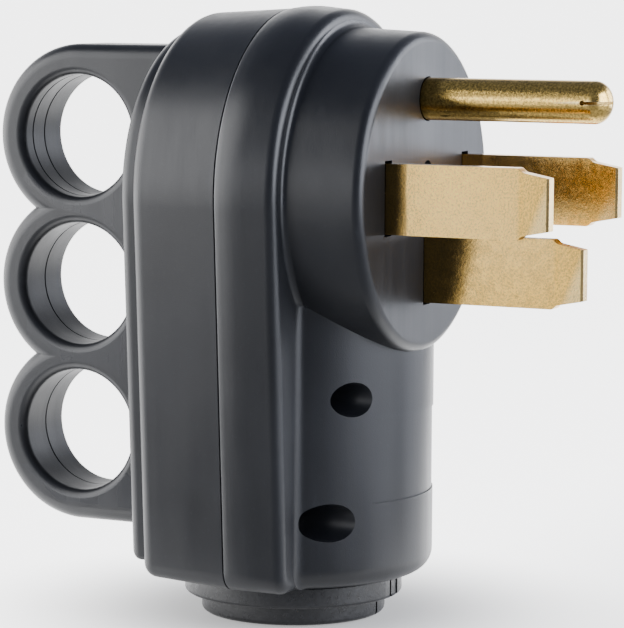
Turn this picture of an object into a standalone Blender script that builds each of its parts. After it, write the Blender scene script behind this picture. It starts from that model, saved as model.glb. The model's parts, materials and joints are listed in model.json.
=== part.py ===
"""Four-blade 50 A plug with a finger-ring handle, for wiring onto a trailer power cord.

The origin is the centre of the contact face. The blades point along -Y, the handle along +Y and
the cord leaves along -Z. The housing splits on a plane across Y: a front shell with the contacts,
and a rear cover with the handle. All named sizes are in millimetres.
"""

import math

import bmesh
import bpy
from mathutils import Matrix, Vector

MM = 0.001
GAP = 0.3

# Depths along Y
FLANGE_Y = 13.5
SEAM_Y = 24.2
REAR_Y = 40.1
PAD_Y = 43.4
PROUD_Y = SEAM_Y - 3.2
WALL = 2.6
FACE_WALL = 2.8

# Housing outline seen along Y: an arch on two sides that close in towards the bottom
ARCH_R = 30.1
SIDE_TAPER = math.radians(3.46)
BOTTOM_Z = -64.5
CORNER_R = 3.5
FLANGE_EDGE_R = 1.3
PROUD = 0.5
REAR_DRAFT = 0.8
REAR_EDGE_R = 2.0
PAD_INSET = 3.3
PAD_EDGE_R = 2.0

# Round boss that carries the contact face, and the column below it
BOSS_R = 26.5
BOSS_EDGE_R = 1.75
BOSS_DRAFT = 0.5
BOSS_ROOT_R = 1.1
COLUMN_R = 23.6
COLUMN_EDGE_R = 3.6
COLUMN_TOP_Z = -8.0
COLUMN_BACK_Y = 18.0
COLUMN_INNER_BACK_Y = 20.0

# Contacts: two hots left and right, neutral below, ground pin above
HOT_X = 15.85
NEUTRAL_Z = -12.4
GROUND_Z = 15.5
BLADE_WIDTH = 11.4
BLADE_THICK = 2.4
BLADE_LENGTH = 27.9
BLADE_STEP_Y = -22.9
BLADE_STEP = 0.65
BLADE_TIP_WIDTH = 8.3
GROUND_R = 3.5
GROUND_LENGTH = 32.0
GROUND_DOME = 2.9
GROUND_SLIT = (0.7, 4.2)
GROUND_SLIT_X = 0.6
GROUND_TAIL_R = 2.4
GROUND_RIVET_Y = 17.1
TAIL_Y = 13.3
TAIL_LENGTH = 11.8
TAIL_INSET = 0.3

# Carrier disc behind the face, held by one screw
CARRIER_R = 23.4
CARRIER_Y = (3.1, 13.0)
CARRIER_SCREW_Z = 3.6
CARRIER_SCREW_R = 1.5
CARRIER_SCREW_HEAD = (3.0, 2.0)
CARRIER_SCREW_SHANK = 12.0
CARRIER_RELIEF_Y = 9.4

# Terminal screws and pressure plates
CLAMP_Y = 20.4
CLAMP_THICK = 1.6
CLAMP_SIZE = (9.6, 9.0)
TERMINAL_SCREW_R = 2.0
TERMINAL_HEAD_R = 3.7
TERMINAL_HEAD_H = 2.6
TERMINAL_SHANK = 8.0
HOT_CLAMP_X = 11.1
NEUTRAL_CLAMP_X = 4.8
NEUTRAL_TAIL_TOP_Z = -8.8
GROUND_CLAMP = (8.4, 14.9)
GROUND_PLATE = ((-4.8, 10.4), (12.3, 19.3))

DRIVER_SLOT = (0.9, 1.0)
SCREW_TIP = 0.5

# Housing screws, reached through deep holes in the column
SCREW_R = 1.5
SCREW_HEAD_R = 2.5
SCREW_HEAD_H = 2.2
SCREW_SEAT_Y = 19.5
SCREW_END_Y = 34.0
PILOT_END_Y = 35.5
UPPER_SCREW = (15.2, -33.0, 2.85, 4.8)
LOWER_SCREW = (18.0, -53.1, 3.15, 5.0)
REAR_POST_R = 4.2

# Cord clamp above the neck
SADDLE_Z = (-46.8, -39.2)
SADDLE_R = 10.5
SADDLE_THICK = 1.8
SADDLE_LUG_Y = (24.0, 26.0)
SADDLE_HALF_WIDTH = 21.0
CORD_SCREW_X = 17.5
CORD_SCREW_Z = -43.0
CORD_SCREW_R = 1.75
CORD_SCREW_HEAD_R = 3.2
CORD_SCREW_HEAD_H = 2.4
CORD_SCREW_SHANK = 11.0
CORD_POST_R = 3.8
CORD_POST_Y = 19.5
CORD_HOLE_Y = 11.0
RIB_R = 12.5
RIB_Z = (-44.6, -41.4)
RIB_TOP_Y = 15.0

# Split bushing where the cord comes out
NECK_HOLE_R = 13.1
BUSHING_BORE_R = 10.5
BUSHING_UPPER = (18.5, -64.8, -68.4)
BUSHING_LOWER = (15.6, -68.4, -71.8)
BUSHING_INNER = (15.0, -60.8, -58.8)
BUSHING_SLIT = 0.8
BUSHING_CHAMFERS = (0.8, 0.6)
BUSHING_FLAT_Y = 37.0

# Handle: a plate with three finger rings in a row
HANDLE_HALF = 7.0
HANDLE_EDGE_R = 2.5
RING_Y = 62.7
RING_Z = (8.0, -17.5, -43.0)
RING_R = 15.75
RING_BORE_R = 10.5
RING_BORE_EDGE = 1.1

# Facets of a half arch, of a round piece and of a small hole or post
ARC_STEPS = 32
ROUND_STEPS = 44
DISC_STEPS = 60
POST_STEPS = 24
HOLE_STEPS = 20

# How far a cutter runs past the face that it opens
PAST = 1.0


def clear_scene():
    for obj in list(bpy.data.objects):
        bpy.data.objects.remove(obj, do_unlink=True)


def material(name, colour, roughness, metallic=0.0):
    mat = bpy.data.materials.new(name)
    mat.use_nodes = True
    shader = mat.node_tree.nodes["Principled BSDF"]
    shader.inputs["Base Color"].default_value = (*colour, 1.0)
    shader.inputs["Roughness"].default_value = roughness
    shader.inputs["Metallic"].default_value = metallic
    return mat


def add_object(name, bm, mat=None, origin=(0.0, 0.0, 0.0), angle=35.0):
    """Puts a bmesh drawn in world millimetres into the scene, its origin at the given point."""
    shift = Vector(origin)
    for vert in bm.verts:
        vert.co = (vert.co - shift) * MM
    bmesh.ops.recalc_face_normals(bm, faces=bm.faces)
    mesh = bpy.data.meshes.new(name)
    bm.to_mesh(mesh)
    bm.free()
    mesh.shade_smooth()
    mesh.set_sharp_from_angle(angle=math.radians(angle))
    obj = bpy.data.objects.new(name, mesh)
    obj.location = shift * MM
    bpy.context.scene.collection.objects.link(obj)
    if mat:
        mesh.materials.append(mat)
    return obj


def as_cutter(obj):
    obj.hide_render = True
    obj.display_type = "WIRE"
    return obj


def boolean(obj, other, operation):
    modifier = obj.modifiers.new(f"{operation.lower()}_{other.name}", "BOOLEAN")
    modifier.object = other
    modifier.operation = operation
    modifier.solver = "EXACT"
    as_cutter(other)


def join(obj, *others):
    for other in others:
        boolean(obj, other, "UNION")


def cut(obj, *others):
    for other in others:
        boolean(obj, other, "DIFFERENCE")


def loft(sections):
    """A closed solid through point rings of equal length, with flat ends."""
    bm = bmesh.new()
    rings = [[bm.verts.new(point) for point in section] for section in sections]
    for lower, upper in zip(rings, rings[1:]):
        count = len(lower)
        for i in range(count):
            j = (i + 1) % count
            bm.faces.new((lower[i], lower[j], upper[j], upper[i]))
    bm.faces.new(rings[0][::-1])
    bm.faces.new(rings[-1])
    return bm


def turned(profile, centre, axis, steps=ROUND_STEPS):
    """A solid of revolution. The profile is (distance along axis, radius) pairs."""
    frame = Vector((0, 0, 1)).rotation_difference(Vector(axis)).to_matrix()
    middle = Vector(centre)
    sections = []
    for along, radius in profile:
        ring = []
        for i in range(steps):
            turn = 2 * math.pi * i / steps
            ring.append(middle + frame @ Vector((radius * math.cos(turn), radius * math.sin(turn), along)))
        sections.append(ring)
    return loft(sections)


def cylinder(radius, start, end, steps=ROUND_STEPS):
    """A plain cylinder between two points."""
    along = Vector(end) - Vector(start)
    return turned([(0.0, radius), (along.length, radius)], start, along.normalized(), steps)


def rod(radius, x, z, start_y, end_y, steps=HOLE_STEPS):
    """A cylinder along Y."""
    return cylinder(radius, (x, start_y, z), (x, end_y, z), steps)


def box(low, high):
    bm = bmesh.new()
    bmesh.ops.create_cube(bm, size=1.0)
    low, high = Vector(low), Vector(high)
    size = Matrix.Diagonal((*(high - low), 1.0))
    bmesh.ops.transform(bm, matrix=Matrix.Translation((low + high) / 2) @ size, verts=bm.verts)
    return bm


def arc(centre, radius, start, end, steps):
    """Points on an arc, both ends included, angles in radians."""
    points = []
    for i in range(steps + 1):
        turn = start + (end - start) * i / steps
        points.append((centre[0] + radius * math.cos(turn), centre[1] + radius * math.sin(turn)))
    return points


def housing_outline(inset):
    """The arch outline in (x, z), drawn smaller by the inset, going round from the lower right corner."""
    radius = ARCH_R - inset
    bottom = BOTTOM_Z + max(inset, 0.0)
    corner = max(CORNER_R - inset, 0.8)
    across = (radius - corner - math.sin(SIDE_TAPER) * -(bottom + corner)) / math.cos(SIDE_TAPER)
    right = (across, bottom + corner)
    left = (-across, bottom + corner)
    points = arc(right, corner, -math.pi / 2, -SIDE_TAPER, 4)
    points += arc((0.0, 0.0), radius, -SIDE_TAPER, math.pi + SIDE_TAPER, ARC_STEPS)
    points += arc(left, corner, math.pi + SIDE_TAPER, math.pi * 1.5, 4)
    return points


def housing_loft(stations):
    """Lofts the arch outline through (y, inset) stations."""
    return loft([[(x, y, z) for x, z in housing_outline(inset)] for y, inset in stations])


def rounded_edge(depth_y, inset, radius, steps, direction):
    """Stations of a rounded rim that ends at depth_y. direction is +1 where y grows into the solid."""
    stations = []
    for i in range(steps + 1):
        turn = math.pi / 2 * i / steps
        depth = depth_y + direction * radius * (1 - math.cos(turn))
        stations.append((depth, inset + radius * (1 - math.sin(turn))))
    return stations


def column_section(z, radius, back_y):
    """The column's D section: an arc about the cord axis, closed by a flat at back_y."""
    half = math.acos((SEAM_Y - back_y) / radius)
    start, end = -math.pi / 2 - half, -math.pi / 2 + half
    return [(x, y, z) for x, y in arc((0.0, SEAM_Y), radius, start, end, ARC_STEPS)]


def handle_outline(inset):
    """The handle's outline in (y, z): three overlapping ring circles and a straight root."""
    radius = RING_R - inset
    pitch = RING_Z[0] - RING_Z[1]
    meet = math.asin(pitch / 2 / radius)
    root_y = REAR_Y + 1.0
    points = [(root_y, RING_Z[0] + radius)]
    points += arc((RING_Y, RING_Z[0]), radius, math.pi / 2, -meet, 16)
    points += arc((RING_Y, RING_Z[1]), radius, meet, -meet, 11)[1:]
    points += arc((RING_Y, RING_Z[2]), radius, meet, -math.pi / 2, 16)[1:]
    points.append((root_y, RING_Z[2] - radius))
    return points


HOUSING_SCREWS = (("upper", UPPER_SCREW), ("lower", LOWER_SCREW))
SIDES = (("left", -1), ("right", 1))


def posts(name, y_range, radius=None):
    """The four screw posts, as solids that a cavity's cutter leaves standing."""
    made = []
    for side, sign in SIDES:
        for level, (x, z, _, post_r) in HOUSING_SCREWS:
            shape = rod(radius or post_r, sign * x, z, *y_range, POST_STEPS)
            made.append(add_object(f"cut_{name}_{level}_{side}", shape))
    return made


def boss_profile():
    """The boss in (y, radius): a rounded rim, a drafted side and a hollow fillet into the flange."""
    profile = [(y, BOSS_R - inset) for y, inset in rounded_edge(0.0, 0.0, BOSS_EDGE_R, 4, 1)]
    root_steps = 4
    for i in range(root_steps + 1):
        turn = math.pi / 2 * i / root_steps
        depth = FLANGE_Y - BOSS_ROOT_R * (1 - math.sin(turn))
        profile.append((depth, BOSS_R + BOSS_DRAFT + BOSS_ROOT_R * (1 - math.cos(turn))))
    profile.append((FLANGE_Y + FLANGE_EDGE_R, BOSS_R + BOSS_DRAFT + BOSS_ROOT_R))
    return profile


def column_sections():
    sections = []
    for z, inset in rounded_edge(BOTTOM_Z, 0.0, COLUMN_EDGE_R, 4, 1):
        sections.append(column_section(z, COLUMN_R - inset, COLUMN_BACK_Y))
    sections.append(column_section(COLUMN_TOP_Z, COLUMN_R, COLUMN_BACK_Y))
    return sections


def front_cavity():
    """The hollow of the front shell, with the posts and the cord rib left out of it."""
    arch = housing_loft([(FLANGE_Y + WALL, WALL), (SEAM_Y + PAST, WALL)])
    cavity = add_object("cut_front_cavity", arch)
    boss_inner = rod(BOSS_R - WALL, 0, 0, FACE_WALL, FLANGE_Y + WALL + PAST, DISC_STEPS)
    column_r = COLUMN_R - WALL
    low_z = BOTTOM_Z + WALL + 0.1
    column_inner = [column_section(z, column_r, COLUMN_INNER_BACK_Y) for z in (low_z, COLUMN_TOP_Z)]
    join(cavity, add_object("join_boss_cavity", boss_inner))
    join(cavity, add_object("join_column_cavity", loft(column_inner)))
    cut(cavity, *posts("front_post", (0.0, SEAM_Y + 2 * PAST)))
    for side, sign in SIDES:
        post = rod(CORD_POST_R, sign * CORD_SCREW_X, CORD_SCREW_Z, 0, CORD_POST_Y, POST_STEPS)
        cut(cavity, add_object(f"cut_cord_post_{side}", post))
    low_z, high_z = RIB_Z
    rib = add_object("cut_cord_rib", box((-CORD_SCREW_X, 0, low_z), (CORD_SCREW_X, RIB_TOP_Y, high_z)))
    rib_round = cylinder(RIB_R, (0, SEAM_Y, low_z - PAST), (0, SEAM_Y, high_z + PAST))
    cut(rib, add_object("cut_rib_round", rib_round))
    cut(cavity, rib)
    return cavity


def neck_hole():
    """Half of the hole that the bushing sits in, cut from each housing half."""
    return cylinder(NECK_HOLE_R, (0, SEAM_Y, BOTTOM_Z - PAST), (0, SEAM_Y, BOTTOM_Z + WALL + PAST))


def build_front_housing(mat):
    edge = rounded_edge(FLANGE_Y, 0.0, FLANGE_EDGE_R, 3, 1)
    stations = edge + [(PROUD_Y, -PROUD), (SEAM_Y - GAP / 2, 0.0)]
    shell = add_object("front_housing", housing_loft(stations), mat)
    boss = turned(boss_profile(), (0, 0, 0), (0, 1, 0), DISC_STEPS)
    join(shell, add_object("join_boss", boss), add_object("join_column", loft(column_sections())))
    cut(shell, front_cavity())

    for side, sign in SIDES:
        for level, (x, z, hole_r, _) in HOUSING_SCREWS:
            reach = rod(hole_r, sign * x, z, -PAST, SCREW_SEAT_Y, POST_STEPS)
            shank = rod(SCREW_R + GAP, sign * x, z, SCREW_SEAT_Y - PAST, SEAM_Y + PAST)
            cut(shell, add_object(f"cut_reach_{level}_{side}", reach))
            cut(shell, add_object(f"cut_shank_{level}_{side}", shank))
        hole = rod(CORD_SCREW_R + GAP, sign * CORD_SCREW_X, CORD_SCREW_Z, CORD_HOLE_Y, SEAM_Y)
        cut(shell, add_object(f"cut_cord_hole_{side}", hole))
    cut(shell, add_object("cut_front_neck", neck_hole()))
    for name, slot in contact_slots(-PAST, FACE_WALL + PAST):
        cut(shell, add_object(f"cut_face_{name}", slot))


def contact_slots(start_y, end_y):
    """Openings for the four contacts and the carrier screw, between two depths."""
    half_t = BLADE_THICK / 2 + GAP
    half_w = BLADE_WIDTH / 2 + GAP
    slots = []
    for name, x, z in (("hot_left", -HOT_X, 0.0), ("hot_right", HOT_X, 0.0), ("neutral", 0.0, NEUTRAL_Z)):
        slots.append((name, box((x - half_t, start_y, z - half_w), (x + half_t, end_y, z + half_w))))
    slots.append(("ground", rod(GROUND_R + GAP, 0, GROUND_Z, start_y, end_y, 32)))
    slots.append(("screw", rod(CARRIER_SCREW_R + GAP, 0, CARRIER_SCREW_Z, start_y, end_y)))
    return slots


def ring_bore(z):
    """The cutter of one finger ring, flared at both faces."""
    flare = [(HANDLE_HALF + 0.3, RING_BORE_R + RING_BORE_EDGE + 0.3)]
    flare += [(HANDLE_HALF - 0.4, RING_BORE_R + 0.45), (HANDLE_HALF - RING_BORE_EDGE, RING_BORE_R)]
    profile = [(-x, radius) for x, radius in flare] + flare[::-1]
    return turned(profile, (0, RING_Y, z), (1, 0, 0), 40)


def rear_cavity():
    """The hollow of the rear cover, which goes on into the pad, with the screw posts left out of it."""
    arch = housing_loft([(SEAM_Y - PAST, WALL), (REAR_Y - WALL, WALL + REAR_DRAFT)])
    cavity = add_object("cut_rear_cavity", arch)
    inset = PAD_INSET + WALL
    pocket = housing_loft([(REAR_Y - WALL - PAST, inset), (PAD_Y - WALL, inset)])
    join(cavity, add_object("join_pad_pocket", pocket))
    cut(cavity, *posts("rear_post", (SEAM_Y - 2 * PAST, PAD_Y), REAR_POST_R))
    return cavity


def build_rear_cover(mat):
    front_y = SEAM_Y + GAP / 2
    rim = rounded_edge(REAR_Y, REAR_DRAFT, REAR_EDGE_R, 4, -1)
    shell = add_object("rear_cover", housing_loft([(front_y, 0.0)] + rim[::-1]), mat)
    pad_rim = rounded_edge(PAD_Y, PAD_INSET, PAD_EDGE_R, 3, -1)
    pad = add_object("join_pad", housing_loft([(REAR_Y - 1.5, PAD_INSET)] + pad_rim[::-1]))

    plates = []
    edge = rounded_edge(-HANDLE_HALF, 0.0, HANDLE_EDGE_R, 3, 1)
    for x, inset in edge + [(-x, inset) for x, inset in edge[::-1]]:
        plates.append([(x, y, z) for y, z in handle_outline(inset)])
    join(shell, pad, add_object("join_handle", loft(plates)))
    for number, z in enumerate(RING_Z, 1):
        cut(shell, add_object(f"cut_ring_{number}", ring_bore(z)))

    cut(shell, rear_cavity())
    for side, sign in SIDES:
        for level, (x, z, _, _) in HOUSING_SCREWS:
            pilot = rod(SCREW_R + GAP, sign * x, z, SEAM_Y - PAST, PILOT_END_Y)
            cut(shell, add_object(f"cut_pilot_{level}_{side}", pilot))
    cut(shell, add_object("cut_rear_neck", neck_hole()))


def build_carrier(mat, terminals):
    """The insulating disc that the contacts pass through, with blind holes for the screws' tips."""
    start, end = CARRIER_Y
    carrier = add_object("contact_carrier", rod(CARRIER_R, 0, 0, start, end, DISC_STEPS), mat)
    for name, slot in contact_slots(start - PAST, end + PAST):
        cut(carrier, add_object(f"cut_carrier_{name}", slot))
    for name, x, z in terminals:
        relief = rod(TERMINAL_SCREW_R + GAP, x, z, CARRIER_RELIEF_Y, end + PAST)
        cut(carrier, add_object(f"cut_relief_{name}", relief))


def blade_outline(z):
    """The blade's side view in (y, z) from the tail to the stepped, tapered tip."""
    half = BLADE_WIDTH / 2
    upper = [
        (TAIL_Y + BLADE_THICK, half),
        (BLADE_STEP_Y, half),
        (BLADE_STEP_Y - 1.0, half - BLADE_STEP),
        (-BLADE_LENGTH, BLADE_TIP_WIDTH / 2),
    ]
    return [(y, z + h) for y, h in upper] + [(y, z - h) for y, h in upper[::-1]]


def build_blade(name, x, z, tail_x, tail_top, mat):
    """A flat contact whose inner end is bent over into a terminal plate. Returns its screw's height."""
    half = BLADE_THICK / 2
    outline = blade_outline(z)
    sections = [[(x + side, y, height) for y, height in outline] for side in (-half, half)]
    blade = add_object(name, loft(sections), mat)
    toward = math.copysign(1, tail_x - x)
    near, far = x - toward * half * 0.5, x - toward * half + toward * TAIL_LENGTH
    low_z, high_z = z - BLADE_WIDTH / 2 + TAIL_INSET, tail_top - TAIL_INSET
    end_y = TAIL_Y + BLADE_THICK - 0.01
    plate = box((min(near, far), TAIL_Y, low_z), (max(near, far), end_y, high_z))
    join(blade, add_object(f"join_{name}_tail", plate))
    hole_z = (low_z + high_z) / 2
    hole = rod(TERMINAL_SCREW_R + GAP, tail_x, hole_z, TAIL_Y - PAST, TAIL_Y + BLADE_THICK + PAST)
    cut(blade, add_object(f"cut_{name}_hole", hole))
    return hole_z


def build_ground(mat):
    """The round ground pin, slit at its tip, and the plate that its tail is fixed in."""
    shoulder_y = CARRIER_Y[1] - 0.4
    profile = [(GROUND_RIVET_Y, GROUND_TAIL_R), (shoulder_y, GROUND_TAIL_R), (shoulder_y, GROUND_R)]
    dome_steps = 6
    for i in range(dome_steps):
        turn = math.pi / 2 * i / dome_steps
        along = -(GROUND_LENGTH - GROUND_DOME) - GROUND_DOME * math.sin(turn)
        profile.append((along, GROUND_R * math.cos(turn)))
    profile.append((-GROUND_LENGTH, 0.4))
    pin = add_object("ground_pin", turned(profile, (0, 0, GROUND_Z), (0, 1, 0), 36), mat)
    height, depth = GROUND_SLIT
    low = (-GROUND_R - PAST, -GROUND_LENGTH - PAST, GROUND_Z - height / 2)
    high = (GROUND_SLIT_X, -GROUND_LENGTH + depth, GROUND_Z + height / 2)
    cut(pin, add_object("cut_ground_slit", box(low, high)))

    (low_x, low_z), (high_x, high_z) = GROUND_PLATE
    end_y = TAIL_Y + BLADE_THICK
    plate = add_object("ground_terminal", box((low_x, TAIL_Y, low_z), (high_x, end_y, high_z)), mat)
    pin_hole = rod(GROUND_TAIL_R + GAP, 0, GROUND_Z, TAIL_Y - PAST, end_y + PAST, POST_STEPS)
    screw_hole = rod(TERMINAL_SCREW_R + GAP, *GROUND_CLAMP, TAIL_Y - PAST, end_y + PAST)
    cut(plate, add_object("cut_ground_pin_hole", pin_hole), add_object("cut_ground_screw_hole", screw_hole))


def slotted_screw(name, mat, seat, head, shank, toward):
    """A screw along Y with a slotted head. seat is the middle of the head's underside, head is its
    (radius, height), shank is its (radius, length), and toward is the side that its tip points to."""
    x, y, z = seat
    head_r, head_h = head
    shank_r, length = shank
    profile = [
        (-head_h, head_r * 0.86),
        (-head_h * 0.72, head_r),
        (0.0, head_r),
        (0.0, shank_r),
        (length - SCREW_TIP, shank_r),
        (length, shank_r - SCREW_TIP),
    ]
    screw = add_object(name, turned(profile, seat, (0, toward, 0), POST_STEPS), mat, origin=seat)
    width, depth = DRIVER_SLOT
    top = y - toward * head_h
    low, high = sorted((top - toward * PAST, top + toward * depth))
    reach = head_r + PAST
    slot = box((x - reach, low, z - width / 2), (x + reach, high, z + width / 2))
    cut(screw, add_object(f"cut_{name}_slot", slot))


def build_terminal(name, x, z, steel, screw_mat):
    """The pressure plate and the screw that draws it towards the terminal plate."""
    half_x, half_z = CLAMP_SIZE[0] / 2, CLAMP_SIZE[1] / 2
    top_y = CLAMP_Y + CLAMP_THICK
    shape = box((x - half_x, CLAMP_Y, z - half_z), (x + half_x, top_y, z + half_z))
    plate = add_object(f"{name}_clamp_plate", shape, steel, origin=(x, CLAMP_Y, z))
    hole = rod(TERMINAL_SCREW_R + GAP, x, z, CLAMP_Y - PAST, top_y + PAST)
    cut(plate, add_object(f"cut_{name}_clamp_hole", hole))
    slotted_screw(
        f"{name}_terminal_screw",
        screw_mat,
        (x, top_y + GAP, z),
        (TERMINAL_HEAD_R, TERMINAL_HEAD_H),
        (TERMINAL_SCREW_R, TERMINAL_SHANK),
        -1,
    )


def saddle_profile():
    """The strap's outline in (x, y): a half round over the cord and a lug at each side."""
    outer = SADDLE_R + SADDLE_THICK
    lug_low, lug_high = SADDLE_LUG_Y
    reach = math.asin((lug_high - SEAM_Y) / outer)
    start = math.asin((lug_low - SEAM_Y) / SADDLE_R)
    profile = [(-SADDLE_HALF_WIDTH, lug_low)]
    profile += arc((0.0, SEAM_Y), SADDLE_R, math.pi - start, start, 20)
    profile += [(SADDLE_HALF_WIDTH, lug_low), (SADDLE_HALF_WIDTH, lug_high)]
    profile += arc((0.0, SEAM_Y), outer, reach, math.pi - reach, 20)
    profile += [(-SADDLE_HALF_WIDTH, lug_high)]
    return profile


def build_cord_clamp(plastic, steel):
    """A strap saddle that two screws draw towards the rib in the front shell."""
    lug_low, lug_high = SADDLE_LUG_Y
    sections = [[(x, y, z) for x, y in saddle_profile()] for z in SADDLE_Z]
    origin = (0, lug_low, CORD_SCREW_Z)
    saddle = add_object("cord_clamp_saddle", loft(sections), plastic, origin=origin)
    for side, sign in SIDES:
        x = sign * CORD_SCREW_X
        hole = rod(CORD_SCREW_R + GAP, x, CORD_SCREW_Z, lug_low - PAST, lug_high + PAST)
        cut(saddle, add_object(f"cut_saddle_hole_{side}", hole))
        slotted_screw(
            f"cord_clamp_screw_{side}",
            steel,
            (x, lug_high + GAP, CORD_SCREW_Z),
            (CORD_SCREW_HEAD_R, CORD_SCREW_HEAD_H),
            (CORD_SCREW_R, CORD_SCREW_SHANK),
            -1,
        )


def build_bushing(mat):
    """A two-step ring, slit at the front so that it opens over the cord, with a flatted flange inside."""
    lower_r, lower_top, low_z = BUSHING_LOWER
    upper_r, upper_top, upper_low = BUSHING_UPPER
    inner_r, inner_low, high_z = BUSHING_INNER
    low_chamfer, upper_chamfer = BUSHING_CHAMFERS
    profile = [
        (low_z, lower_r - low_chamfer),
        (low_z + low_chamfer, lower_r),
        (upper_low, lower_r),
        (upper_low, upper_r - upper_chamfer),
        (upper_low + upper_chamfer, upper_r),
        (upper_top, upper_r),
        (upper_top, NECK_HOLE_R - GAP),
        (inner_low, NECK_HOLE_R - GAP),
        (inner_low, inner_r),
        (high_z, inner_r),
    ]
    bushing = add_object("cord_bushing", turned(profile, (0, SEAM_Y, 0), (0, 0, 1), 48), mat)
    start_z, end_z = low_z - PAST, high_z + PAST
    bore = cylinder(BUSHING_BORE_R, (0, SEAM_Y, start_z), (0, SEAM_Y, end_z))
    half_slit = BUSHING_SLIT / 2
    slit = box((-half_slit, SEAM_Y - upper_r - PAST, start_z), (half_slit, SEAM_Y, end_z))
    flat_low = (-inner_r - PAST, BUSHING_FLAT_Y, inner_low - 0.1)
    flat = box(flat_low, (inner_r + PAST, SEAM_Y + inner_r + PAST, end_z))
    for name, shape in (("bore", bore), ("slit", slit), ("flat", flat)):
        cut(bushing, add_object(f"cut_bushing_{name}", shape))


def build_housing_screws(steel):
    seat_y = SCREW_SEAT_Y - GAP
    for side, sign in SIDES:
        for level, (x, z, _, _) in HOUSING_SCREWS:
            slotted_screw(
                f"housing_screw_{level}_{side}",
                steel,
                (sign * x, seat_y, z),
                (SCREW_HEAD_R, SCREW_HEAD_H),
                (SCREW_R, SCREW_END_Y - seat_y),
                1,
            )


def build_contacts(brass, steel, green, inner):
    """The three blades and the ground pin, the carrier they pass through, and their terminals."""
    half = BLADE_WIDTH / 2
    hot_z = build_blade("hot_blade_left", -HOT_X, 0.0, -HOT_CLAMP_X, half, brass)
    build_blade("hot_blade_right", HOT_X, 0.0, HOT_CLAMP_X, half, brass)
    neutral_z = build_blade("neutral_blade", 0.0, NEUTRAL_Z, NEUTRAL_CLAMP_X, NEUTRAL_TAIL_TOP_Z, brass)
    build_ground(brass)
    terminals = (
        ("hot_left", -HOT_CLAMP_X, hot_z),
        ("hot_right", HOT_CLAMP_X, hot_z),
        ("neutral", NEUTRAL_CLAMP_X, neutral_z),
        ("ground", *GROUND_CLAMP),
    )
    build_carrier(inner, terminals)
    for (name, x, z), screw_mat in zip(terminals, (brass, brass, steel, green)):
        build_terminal(name, x, z, steel, screw_mat)
    slotted_screw(
        "carrier_screw",
        steel,
        (0, CARRIER_Y[1] + GAP, CARRIER_SCREW_Z),
        CARRIER_SCREW_HEAD,
        (CARRIER_SCREW_R, CARRIER_SCREW_SHANK),
        -1,
    )


def main():
    clear_scene()
    black = material("black_nylon", (0.055, 0.058, 0.065), 0.45)
    inner = material("carrier_black", (0.03, 0.03, 0.032), 0.5)
    brass = material("brass", (0.72, 0.52, 0.24), 0.35, 1.0)
    steel = material("zinc_steel", (0.62, 0.62, 0.60), 0.35, 1.0)
    green = material("ground_green", (0.05, 0.28, 0.10), 0.4, 0.6)
    soft = material("bushing_rubber", (0.05, 0.052, 0.056), 0.7)

    build_front_housing(black)
    build_rear_cover(black)
    build_contacts(brass, steel, green, inner)
    build_cord_clamp(inner, steel)
    build_bushing(soft)
    build_housing_screws(steel)


main()
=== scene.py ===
"""Looks of a four-contact plug with a finger-ring handle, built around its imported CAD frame.

Shape functions work in millimetres, and add_mesh() turns them into metres. The contacts point along -Y, the
handle along +Y and the cord outlet along -Z. Places come from the CAD nodes' boxes and the record's openings.
"""

import json
import math

import bmesh
import bpy
from mathutils import Matrix, Vector


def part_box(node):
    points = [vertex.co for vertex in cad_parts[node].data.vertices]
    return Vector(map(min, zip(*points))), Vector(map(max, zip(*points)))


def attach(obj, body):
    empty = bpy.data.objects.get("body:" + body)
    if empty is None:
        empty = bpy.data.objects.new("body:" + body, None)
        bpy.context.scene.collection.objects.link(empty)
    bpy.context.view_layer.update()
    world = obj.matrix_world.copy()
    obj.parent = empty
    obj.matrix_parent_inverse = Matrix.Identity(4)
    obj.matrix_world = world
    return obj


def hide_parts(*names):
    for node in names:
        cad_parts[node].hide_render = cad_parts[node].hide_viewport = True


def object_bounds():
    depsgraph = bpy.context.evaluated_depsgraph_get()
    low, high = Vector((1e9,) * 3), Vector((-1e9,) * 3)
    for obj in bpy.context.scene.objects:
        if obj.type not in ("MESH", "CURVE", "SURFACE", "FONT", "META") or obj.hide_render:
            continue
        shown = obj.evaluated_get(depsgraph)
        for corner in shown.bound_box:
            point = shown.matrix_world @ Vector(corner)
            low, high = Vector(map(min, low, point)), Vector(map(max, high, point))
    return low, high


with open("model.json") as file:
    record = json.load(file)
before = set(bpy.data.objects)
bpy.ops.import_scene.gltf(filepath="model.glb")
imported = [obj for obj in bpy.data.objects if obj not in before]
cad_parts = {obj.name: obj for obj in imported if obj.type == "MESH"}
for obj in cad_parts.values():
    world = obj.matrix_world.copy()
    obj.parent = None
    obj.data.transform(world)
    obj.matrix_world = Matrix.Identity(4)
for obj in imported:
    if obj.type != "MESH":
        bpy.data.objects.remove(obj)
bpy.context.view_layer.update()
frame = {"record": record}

MM = 0.001


def node_box(node):
    """Lowest and highest corner of a CAD node, in millimetres."""
    low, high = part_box(node)
    return low / MM, high / MM


def node_centre(node):
    low, high = node_box(node)
    return (low + high) / 2


OPENINGS = {row["name"]: row["box_m"] for row in frame["record"]["physics"]["openings"]}


def opening_centre(name):
    low, high = OPENINGS[name]
    return [(a + b) / 2 / MM for a, b in zip(low, high)]


# Overall places, read from the frame
FRONT_LOW, FRONT_HIGH = node_box("front_housing")
REAR_LOW, REAR_HIGH = node_box("rear_cover")
BUSH_LOW, BUSH_HIGH = node_box("cord_bushing")
SEAM_Y = (FRONT_HIGH.y + REAR_LOW.y) / 2
BOTTOM_Z = FRONT_LOW.z
CARRIER_LOW, CARRIER_HIGH = node_box("contact_carrier")
CARRIER_SCREW_AT = node_centre("carrier_screw")
GROUND_AT = node_centre("ground_pin")

# How far a cutter or a joined shape reaches past the surface that it meets
PAST = 1.0

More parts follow.
